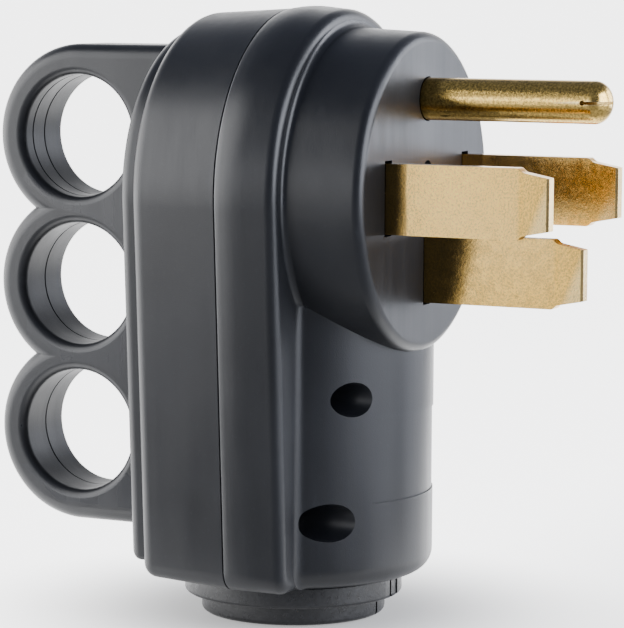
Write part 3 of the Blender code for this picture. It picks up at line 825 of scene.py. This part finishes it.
def make_clamp_plate(name, material):
    """A square pressure plate with rounded edges and gripping grooves underneath."""
    node = f"{name}_clamp_plate"
    low, high = node_box(node)
    at = (low + high) / 2
    plate = add_mesh(node + "_fine", box(low, high))
    round_edges(plate, 0.3, 3)
    hole = cylinder_y(TERMINAL_HOLE_R, at.x, at.z, low.y - 2 * PAST, high.y + 2 * PAST)
    cut(plate, add_mesh("plate_hole", hole))
    grooves = []
    for offset in GRIP_PAIRS:
        for step in (-GRIP_STEP, GRIP_STEP):
            x = at.x + offset + step
            groove_low = (x - GRIP_HALF, low.y - PAST, low.z - PAST)
            groove_high = (x + GRIP_HALF, low.y + GRIP_DEPTH, high.z + PAST)
            grooves.append(box(groove_low, groove_high))
    cut(plate, merged("grip_grooves", grooves))
    return finish_piece(plate, material, f"{name}_clamp", "steel", node)


def make_saddle(material):
    """The cord clamp's strap: an arch over the cord with a lug at each side."""
    low, high = node_box("cord_clamp_saddle")
    lug_low, lug_high = low.y, low.y + SADDLE_LUG
    reach = math.asin((lug_high - SEAM_Y) / SADDLE_OUTER_R)
    profile = [(low.x, lug_low), (-SADDLE_INNER_R, lug_low)]
    profile += arc((0.0, SEAM_Y), SADDLE_INNER_R, math.pi - 0.001, 0.001, SADDLE_STEPS)
    profile += [(SADDLE_INNER_R, lug_low), (high.x, lug_low), (high.x, lug_high)]
    profile += arc((0.0, SEAM_Y), SADDLE_OUTER_R, reach, math.pi - reach, SADDLE_STEPS)
    profile += [(low.x, lug_high)]
    stations = runs([(low.z, 0), (high.z, 0)], 1.0)
    saddle = add_mesh("saddle_fine", loft([[(x, y, z) for x, y in profile] for z, _ in stations]))
    screws = cord_screw_axes()
    holes = [cylinder_y(CORD_CLEAR_R, at.x, at.z, lug_low - PAST, lug_high + PAST) for at in screws]
    cut(saddle, merged("saddle_holes", holes))
    round_edges(saddle, 0.2, 2, 50.0)
    return finish_piece(saddle, material, "cord_clamp", "insulator", "cord_clamp_saddle")


# ------------------------ materials


NYLON_DARK, NYLON_LIGHT = (0.007, 0.0075, 0.0092), (0.012, 0.0128, 0.0152)
INSULATOR_DARK, INSULATOR_LIGHT = (0.012, 0.012, 0.013), (0.02, 0.02, 0.022)
RUBBER_DARK, RUBBER_LIGHT = (0.002, 0.0022, 0.003), (0.008, 0.0085, 0.0105)
# Colour of the painted highlight along the seam
SEAM_HIGHLIGHT_COLOUR = (0.10, 0.103, 0.11)
PLASTIC_SPECULAR, BORE_SPECULAR = 0.4, 0.3
BLADE_TINT, BLADE_STAIN = (0.68, 0.37, 0.027), (0.41, 0.22, 0.018)
PIN_TINT, PIN_STAIN = (0.72, 0.48, 0.13), (0.46, 0.29, 0.06)
BRIGHT_BRASS = (0.92, 0.72, 0.36)
# Colour of the painted shade on the brass beside the face
PAINTED_SHADE_BRASS = (0.05, 0.03, 0.006)
SCREW_BRASS = (0.80, 0.60, 0.30)
ZINC = (0.62, 0.62, 0.60)
GREEN = (0.05, 0.30, 0.11)


class Nodes:
    """Small helper for building a node tree."""

    def __init__(self, tree):
        self.tree = tree

    def add(self, kind, **settings):
        node = self.tree.nodes.new(kind)
        for key, value in settings.items():
            setattr(node, key, value)
        return node

    def link(self, output, socket):
        self.tree.links.new(output, socket)

    def along(self, vector, direction):
        """How far a vector reaches along a direction."""
        node = self.add("ShaderNodeVectorMath", operation="DOT_PRODUCT")
        self.link(vector, node.inputs[0])
        node.inputs[1].default_value = direction
        return node.outputs["Value"]

    def spread(self, value, low, high, to_low=0.0, to_high=1.0, smooth=False):
        """Maps low to to_low and high to to_high, held at both ends."""
        ranged = self.add("ShaderNodeMapRange", interpolation_type="SMOOTHSTEP" if smooth else "LINEAR")
        numbers = {"From Min": low, "From Max": high, "To Min": to_low, "To Max": to_high}
        for socket, number in numbers.items():
            ranged.inputs[socket].default_value = number
        self.link(value, ranged.inputs["Value"])
        return ranged.outputs["Result"]

    def math(self, operation, first, second):
        node = self.add("ShaderNodeMath", operation=operation)
        for index, value in enumerate((first, second)):
            if isinstance(value, (int, float)):
                node.inputs[index].default_value = value
            else:
                self.link(value, node.inputs[index])
        return node.outputs["Value"]

    def mix(self, factor, first, second):
        """Mixes two colours. Each is a socket or a plain (red, green, blue)."""
        node = self.add("ShaderNodeMix", data_type="RGBA", blend_type="MIX")
        if isinstance(factor, (int, float)):
            node.inputs["Factor"].default_value = factor
        else:
            self.link(factor, node.inputs["Factor"])
        for socket, value in ((node.inputs[6], first), (node.inputs[7], second)):
            if isinstance(value, tuple):
                socket.default_value = (*value, 1.0)
            else:
                self.link(value, socket)
        return node.outputs[2]


class Surface(Nodes):
    """One material's node tree, laid out over the object's own coordinates."""

    def __init__(self, name):
        self.material = bpy.data.materials.new(name)
        self.material.use_nodes = True
        super().__init__(self.material.node_tree)
        self.shader = self.tree.nodes["Principled BSDF"]
        self.place = self.add("ShaderNodeTexCoord").outputs["Object"]

    def noise(self, scale, detail=3.0, stretch=(1.0, 1.0, 1.0), rough=0.5):
        mapping = self.add("ShaderNodeMapping")
        mapping.inputs["Scale"].default_value = stretch
        self.link(self.place, mapping.inputs["Vector"])
        noise = self.add("ShaderNodeTexNoise")
        noise.inputs["Scale"].default_value = scale
        noise.inputs["Detail"].default_value = detail
        noise.inputs["Roughness"].default_value = rough
        self.link(mapping.outputs["Vector"], noise.inputs["Vector"])
        return noise.outputs["Fac"]

    def spots(self, scale):
        cells = self.add("ShaderNodeTexVoronoi", feature="F1")
        cells.inputs["Scale"].default_value = scale
        self.link(self.place, cells.inputs["Vector"])
        return cells.outputs["Distance"]

    def worn_edges(self, low, high):
        """0 on flats to 1 on convex edges."""
        return self.spread(self.add("ShaderNodeNewGeometry").outputs["Pointiness"], low, high)

    def bump(self, height, distance, strength=1.0, under=None):
        node = self.add("ShaderNodeBump")
        node.inputs["Distance"].default_value = distance
        node.inputs["Strength"].default_value = strength
        self.link(height, node.inputs["Height"])
        if under is not None:
            self.link(under, node.inputs["Normal"])
        return node.outputs["Normal"]

    def colour(self, value):
        self.link(value, self.shader.inputs["Base Color"])

    def roughness(self, value):
        self.link(value, self.shader.inputs["Roughness"])

    def normal(self, value):
        self.link(value, self.shader.inputs["Normal"])


def ring_bore_mask(m):
    """1 on the walls of the finger rings, which are left duller than the outside, and 0 elsewhere."""
    flat = m.add("ShaderNodeVectorMath", operation="MULTIPLY")
    m.link(m.place, flat.inputs[0])
    flat.inputs[1].default_value = (0.0, 1.0, 1.0)
    mask = None
    for z in RINGS:
        offset = m.add("ShaderNodeVectorMath", operation="DISTANCE")
        m.link(flat.outputs["Vector"], offset.inputs[0])
        offset.inputs[1].default_value = (0.0, RING_Y * MM, z * MM)
        near = m.spread(offset.outputs["Value"], (RING_BORE_R + 0.7) * MM, (RING_BORE_R + 0.2) * MM)
        mask = near if mask is None else m.math("MAXIMUM", mask, near)
    return mask


def painted_seam_highlight(m):
    """A painted highlight: a patchy pale line along the front shell's side of the seam, stronger towards the
    top.
    """
    depth = m.along(m.place, (0.0, 1.0, 0.0))
    after_start = m.spread(depth, (SEAM_Y - 0.42) * MM, (SEAM_Y - 0.3) * MM)
    before_end = m.spread(depth, (SEAM_Y + 0.02) * MM, SEAM_Y * MM)
    line = m.math("MULTIPLY", after_start, before_end)
    height = m.spread(m.along(m.place, (0.0, 0.0, 1.0)), -0.03, 0.01, 0.25, 0.9, smooth=True)
    patchy = m.spread(m.noise(240.0, 3.0, (0.3, 0.3, 1.0)), 0.35, 0.6, 0.35, 1.0)
    return m.math("MULTIPLY", m.math("MULTIPLY", line, height), patchy)


def scaled(colour, factor):
    return tuple(min(1.0, part * factor) for part in colour)


def satin_plastic(name, dark, light, rough, grain, housing=False):
    """Moulded nylon: a fine spark grain, faint flow streaks along Z and slightly burnished edges.

    The housings' plastic also has a painted highlight along the seam and duller walls in the finger rings.
    """
    m = Surface(name)
    specular = m.shader.inputs["Specular IOR Level"]
    specular.default_value = PLASTIC_SPECULAR
    cloud = m.noise(45.0, 4.0)
    streak = m.noise(260.0, 3.0, (1.0, 1.0, 0.06))
    fine = m.noise(5200.0, 2.0)
    base = m.mix(m.spread(cloud, 0.3, 0.7), dark, light)
    flecks = m.spread(m.noise(1400.0, 2.0), 0.62, 0.8, 0.0, 0.35)
    base = m.mix(flecks, base, scaled(light, 1.7))
    edges = m.worn_edges(0.52, 0.6)
    base = m.mix(m.math("MULTIPLY", edges, 0.35), base, scaled(light, 1.8))
    if housing:
        # Painted highlight along the seam
        base = m.mix(painted_seam_highlight(m), base, SEAM_HIGHLIGHT_COLOUR)
    m.colour(base)
    uneven = m.math("ADD", m.math("MULTIPLY", streak, 0.6), m.math("MULTIPLY", cloud, 0.4))
    satin = m.spread(m.spread(uneven, 0.35, 0.65), 0.0, 1.0, *rough)
    satin = m.math("SUBTRACT", satin, m.math("MULTIPLY", edges, 0.06))
    if housing:
        bores = ring_bore_mask(m)
        satin = m.math("ADD", satin, m.math("MULTIPLY", bores, 0.12))
        m.link(m.spread(bores, 0.0, 1.0, PLASTIC_SPECULAR, BORE_SPECULAR), specular)
    m.roughness(satin)
    waves = m.bump(m.noise(70.0, 2.0), 0.00006, 0.5)
    drawn = m.bump(m.noise(900.0, 2.0, (1.0, 1.0, 0.04)), 0.00003, 0.35, waves)
    m.normal(m.bump(fine, 0.00003, grain, drawn))
    return m.material


def grained_rubber(name):
    """Soft moulding with a coarse speckled grain."""
    m = Surface(name)
    grain = m.noise(1500.0, 3.0, rough=0.7)
    m.colour(m.mix(m.spread(grain, 0.35, 0.7), RUBBER_DARK, RUBBER_LIGHT))
    m.roughness(m.spread(m.noise(1100.0, 2.0), 0.3, 0.7, 0.24, 0.44))
    m.normal(m.bump(grain, 0.00008, 0.6))
    return m.material


def tumbled_brass(name, tint, stain_tint, shade_to, fade):
    """Stamped brass with a speckled, tumbled skin, stains and brighter edges, darkened beside the face by
    painted shade.

    The painted shade ends the given number of millimetres in front of the face and fades out over the fade
    distance.
    """
    m = Surface(name)
    m.shader.inputs["Metallic"].default_value = 1.0
    speckle = m.noise(2700.0, 3.0, rough=0.65)
    stain = m.noise(170.0, 4.0)
    base = m.mix(m.spread(speckle, 0.36, 0.64), scaled(tint, 0.5), scaled(tint, 1.18))
    base = m.mix(m.spread(stain, 0.5, 0.78, 0.0, 0.45), base, stain_tint)
    edges = m.worn_edges(0.52, 0.58)
    base = m.mix(m.math("MULTIPLY", edges, 0.6), base, BRIGHT_BRASS)
    # Painted shade: the brass goes dark close to the face, standing in for the dark housing's reflection,
    # with a wandering edge
    wander = m.spread(m.noise(260.0, 2.0), 0.3, 0.7, -fade * 0.3 * MM, fade * 0.3 * MM)
    ahead = m.math("ADD", m.along(m.place, (0.0, -1.0, 0.0)), wander)
    painted_shade = m.spread(ahead, (shade_to + fade / 2) * MM, (shade_to - fade / 2) * MM, 0.0, 0.5, smooth=True)
    m.colour(m.mix(painted_shade, base, PAINTED_SHADE_BRASS))
    rough = m.spread(m.noise(600.0, 3.0), 0.3, 0.7, 0.14, 0.24)
    m.roughness(m.math("ADD", rough, m.spread(m.spots(700.0), 0.0, 0.12, 0.12, 0.0)))
    lines = m.bump(m.noise(900.0, 2.0, (1.0, 0.05, 1.0)), 0.00001, 0.5)
    m.normal(m.bump(speckle, 0.000025, 0.6, lines))
    return m.material


def plated_metal(name, tint, metallic, rough):
    """Plated screw stock: fine turned lines, dull patches and brighter edges."""
    m = Surface(name)
    m.shader.inputs["Metallic"].default_value = metallic
    patch = m.noise(900.0, 3.0)
    base = m.mix(m.spread(patch, 0.35, 0.7), scaled(tint, 0.72), tint)
    edges = m.worn_edges(0.52, 0.6)
    m.colour(m.mix(m.math("MULTIPLY", edges, 0.5), base, scaled(tint, 1.35)))
    m.roughness(m.spread(m.noise(2200.0, 2.0), 0.3, 0.7, rough - 0.07, rough + 0.1))
    m.normal(m.bump(m.noise(3000.0, 2.0), 0.00001, 0.5))
    return m.material


# ------------------------ stage


# The studio: white far behind the object, dim and blue-grey towards the camera and overhead
WHITE_LIGHT = 4.2
WHITE_TOWARDS = (0.766, 0.643, 0.0)
# (cosine of the angle from WHITE_TOWARDS, colour as a share of the white light)
ROOM_COLOURS = (
    (-0.9, (0.030, 0.034, 0.044)),
    (-0.7, (0.20, 0.215, 0.25)),
    (-0.56, (0.52, 0.53, 0.55)),
    (-0.4, (0.44, 0.45, 0.48)),
    (0.1, (0.30, 0.31, 0.34)),
    (0.6, (0.26, 0.26, 0.27)),
    (0.82, (1.0, 1.0, 1.0)),
)
OVERHEAD = (0.044, 0.050, 0.068)
# The vertical share of a direction where the room gives way to OVERHEAD
ROOM_FADE = (0.05, 0.72)
# The floor glows with painted light that rises along AWAY and along Y, and dips in a painted shadow pool
# round the foot of the object
AWAY = (0.918, 0.396, 0.0)
FLOOR_FADE_AWAY = (-0.034, -0.010)
FLOOR_FADE_Y = (-0.13, 0.03)
SHADOW_POOL = (0.015, 0.065)
FLOOR_HALF = 60.0
FLOOR_GAP = 0.0002
FLOOR_COLOUR = (0.36, 0.36, 0.36, 1.0)


def make_floor():
    """A wide pale floor that glows with painted light behind the object as the camera sees it, fading out in
    front of it, with a painted shadow round the object's foot.
    """
    floor_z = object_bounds()[0].z - FLOOR_GAP
    bm = bmesh.new()
    corners = [(-1, -1), (1, -1), (1, 1), (-1, 1)]
    bm.faces.new([bm.verts.new((x * FLOOR_HALF, y * FLOOR_HALF, floor_z)) for x, y in corners])
    mesh = bpy.data.meshes.new("floor")
    bm.to_mesh(mesh)
    bm.free()
    floor = bpy.data.objects.new("floor", mesh)
    bpy.context.scene.collection.objects.link(floor)
    m = Surface("pale_floor")
    m.shader.inputs["Base Color"].default_value = FLOOR_COLOUR
    m.shader.inputs["Roughness"].default_value = 0.9
    m.shader.inputs["Specular IOR Level"].default_value = 0.1
    m.shader.inputs["Emission Color"].default_value = (1.0, 1.0, 1.0, 1.0)
    away = m.spread(m.along(m.place, AWAY), *FLOOR_FADE_AWAY, smooth=True)
    behind = m.spread(m.along(m.place, (0.0, 1.0, 0.0)), *FLOOR_FADE_Y, smooth=True)
    painted_glow = m.math("MULTIPLY", m.math("MULTIPLY", away, behind), WHITE_LIGHT)
    offset = m.add("ShaderNodeVectorMath", operation="DISTANCE")
    m.link(m.place, offset.inputs[0])
    offset.inputs[1].default_value = (0.0, SEAM_Y * MM, floor_z)
    # Painted shadow: the floor's glow dims round the foot of the object
    painted_shadow = m.spread(offset.outputs["Value"], *SHADOW_POOL, 0.1, 1.0, smooth=True)
    m.link(m.math("MULTIPLY", painted_glow, painted_shadow), m.shader.inputs["Emission Strength"])
    mesh.materials.append(m.material)


def make_world():
    """White behind the object, dimmer and bluer elsewhere and overhead."""
    world = bpy.data.worlds.new("studio")
    world.use_nodes = True
    bpy.context.scene.world = world
    m = Nodes(world.node_tree)
    background = m.tree.nodes["Background"]
    way = m.add("ShaderNodeTexCoord").outputs["Generated"]
    ramp = m.add("ShaderNodeValToRGB")
    m.link(m.spread(m.along(way, WHITE_TOWARDS), -1.0, 1.0), ramp.inputs["Fac"])
    stops = ramp.color_ramp.elements
    while len(stops) < len(ROOM_COLOURS):
        stops.new(0.5)
    for stop, (cosine, colour) in zip(stops, ROOM_COLOURS):
        stop.position = (cosine + 1) / 2
        stop.color = (*colour, 1.0)
    up = m.spread(m.along(way, (0.0, 0.0, 1.0)), *ROOM_FADE, smooth=True)
    m.link(m.mix(up, ramp.outputs["Color"], OVERHEAD), background.inputs["Color"])
    background.inputs["Strength"].default_value = WHITE_LIGHT


# Upright softboxes: (name, middle in x and y, lowest, highest, width, radiance, colour)
NEUTRAL = (1.0, 1.0, 1.0)
COOL = (0.86, 0.90, 1.0)
SOFTBOXES = (
    ("front_softbox", (0.4065, -0.311), -0.07, 0.30, 0.28, 6.6, COOL),
    ("column_softbox", (0.02, -0.50), -0.055, 0.40, 0.46, 9.0, COOL),
    ("handle_softbox", (-0.213, 0.254), -0.065, 0.33, 0.21, 5.2, NEUTRAL),
    ("blade_softbox", (-0.267, 0.090), -0.07, 0.09, 0.05, 1.9, NEUTRAL),
    ("rear_softbox", (-0.11, 0.50), -0.055, 0.30, 0.30, 5.0, NEUTRAL),
)


def make_softboxes():
    """Each one stands upright and faces the cord's axis."""
    for name, (x, y), low, high, width, radiance, colour in SOFTBOXES:
        light = bpy.data.lights.new(name, "AREA")
        light.shape = "RECTANGLE"
        light.color = colour
        light.size, light.size_y = width, high - low
        light.energy = radiance * math.pi * width * (high - low)
        lamp = bpy.data.objects.new(name, light)
        lamp.location = (x, y, (low + high) / 2)
        lamp.rotation_mode = "QUATERNION"
        lamp.rotation_quaternion = Vector((-x, -y, 0.0)).to_track_quat("-Z", "Y")
        lamp.visible_camera = False
        bpy.context.scene.collection.objects.link(lamp)


def make_stage():
    make_floor()
    make_world()
    make_softboxes()


# The camera's place in metres, its turn about Z, how steeply it looks down, its roll and its lens
CAMERA_AT = (-0.45225, -0.19456, 0.03462)
CAMERA_TURN = math.radians(-64.52)
CAMERA_ABOVE = math.radians(6.36)
CAMERA_ROLL = math.radians(0.31)
SENSOR = 36.0
LENS = 172.38


def make_camera():
    data = bpy.data.cameras.new("camera")
    data.sensor_fit = "HORIZONTAL"
    data.sensor_width = SENSOR
    data.lens = LENS
    data.clip_start, data.clip_end = 0.01, 100.0
    camera = bpy.data.objects.new("camera", data)
    turn, above = CAMERA_TURN, CAMERA_ABOVE
    back = Vector((math.sin(turn) * math.cos(above), -math.cos(turn) * math.cos(above), math.sin(above)))
    right = Vector((math.cos(turn), math.sin(turn), 0.0))
    up = back.cross(right)
    right, up = (
        right * math.cos(CAMERA_ROLL) + up * math.sin(CAMERA_ROLL),
        up * math.cos(CAMERA_ROLL) - right * math.sin(CAMERA_ROLL),
    )
    camera.matrix_world = Matrix.Translation(CAMERA_AT) @ Matrix((right, up, back)).transposed().to_4x4()
    bpy.context.scene.collection.objects.link(camera)
    bpy.context.scene.camera = camera


# ------------------------ assembly


def make_contacts():
    """The three blades and the ground pin. The lower blade's painted shade reaches further out than on the
    other two.
    """
    brass = tumbled_brass("contact_brass", BLADE_TINT, BLADE_STAIN, 3.7, 0.5)
    lower_brass = tumbled_brass("neutral_brass", BLADE_TINT, BLADE_STAIN, 7.2, 4.6)
    pin_brass = tumbled_brass("pin_brass", PIN_TINT, PIN_STAIN, 0.8, 1.6)
    for name, x, z, half in blade_planes():
        make_blade(name, x, z, half, lower_brass if name == "neutral_blade" else brass)
    make_ground_pin(pin_brass)
    make_ground_terminal(pin_brass)


def make_terminals(zinc):
    """A pressure plate and a coloured screw for each contact."""
    brass = plated_metal("screw_brass", SCREW_BRASS, 1.0, 0.3)
    green = plated_metal("ground_green", GREEN, 0.7, 0.36)
    for name, slot, metal in (
        ("hot_left", "hot_screws", brass),
        ("hot_right", "hot_screws", brass),
        ("neutral", "steel", zinc),
        ("ground", "ground_screw", green),
    ):
        make_clamp_plate(name, zinc)
        make_screw(f"{name}_terminal_screw", f"{name}_screw", slot, metal, TO_FACE, TERMINAL_SCREW)


def make_outer_screws(zinc):
    """The screws of the cord clamp and the housings."""
    for side in ("left", "right"):
        make_screw(f"cord_clamp_screw_{side}", f"cord_screw_{side}", "steel", zinc, TO_FACE, CORD_SCREW)
        for level in ("upper", "lower"):
            node = f"housing_screw_{level}_{side}"
            make_screw(node, node, "steel", zinc, TO_HANDLE, HOUSING_SCREW, cross=True)


def main():
    plastic = satin_plastic("housing_nylon", NYLON_DARK, NYLON_LIGHT, (0.29, 0.40), 0.5, housing=True)
    insulator = satin_plastic("insulator_plastic", INSULATOR_DARK, INSULATOR_LIGHT, (0.42, 0.55), 0.4)
    zinc = plated_metal("zinc_steel", ZINC, 1.0, 0.32)
    make_front_housing(plastic)
    make_rear_cover(plastic)
    make_bushing(grained_rubber("bushing_rubber"))
    make_contacts()
    make_carrier(insulator)
    make_terminals(zinc)
    make_screw("carrier_screw", "front_shell", "steel", zinc, TO_FACE, CARRIER_SCREW, cross=True)
    make_saddle(insulator)
    make_outer_screws(zinc)


make_camera()
main()
make_stage()
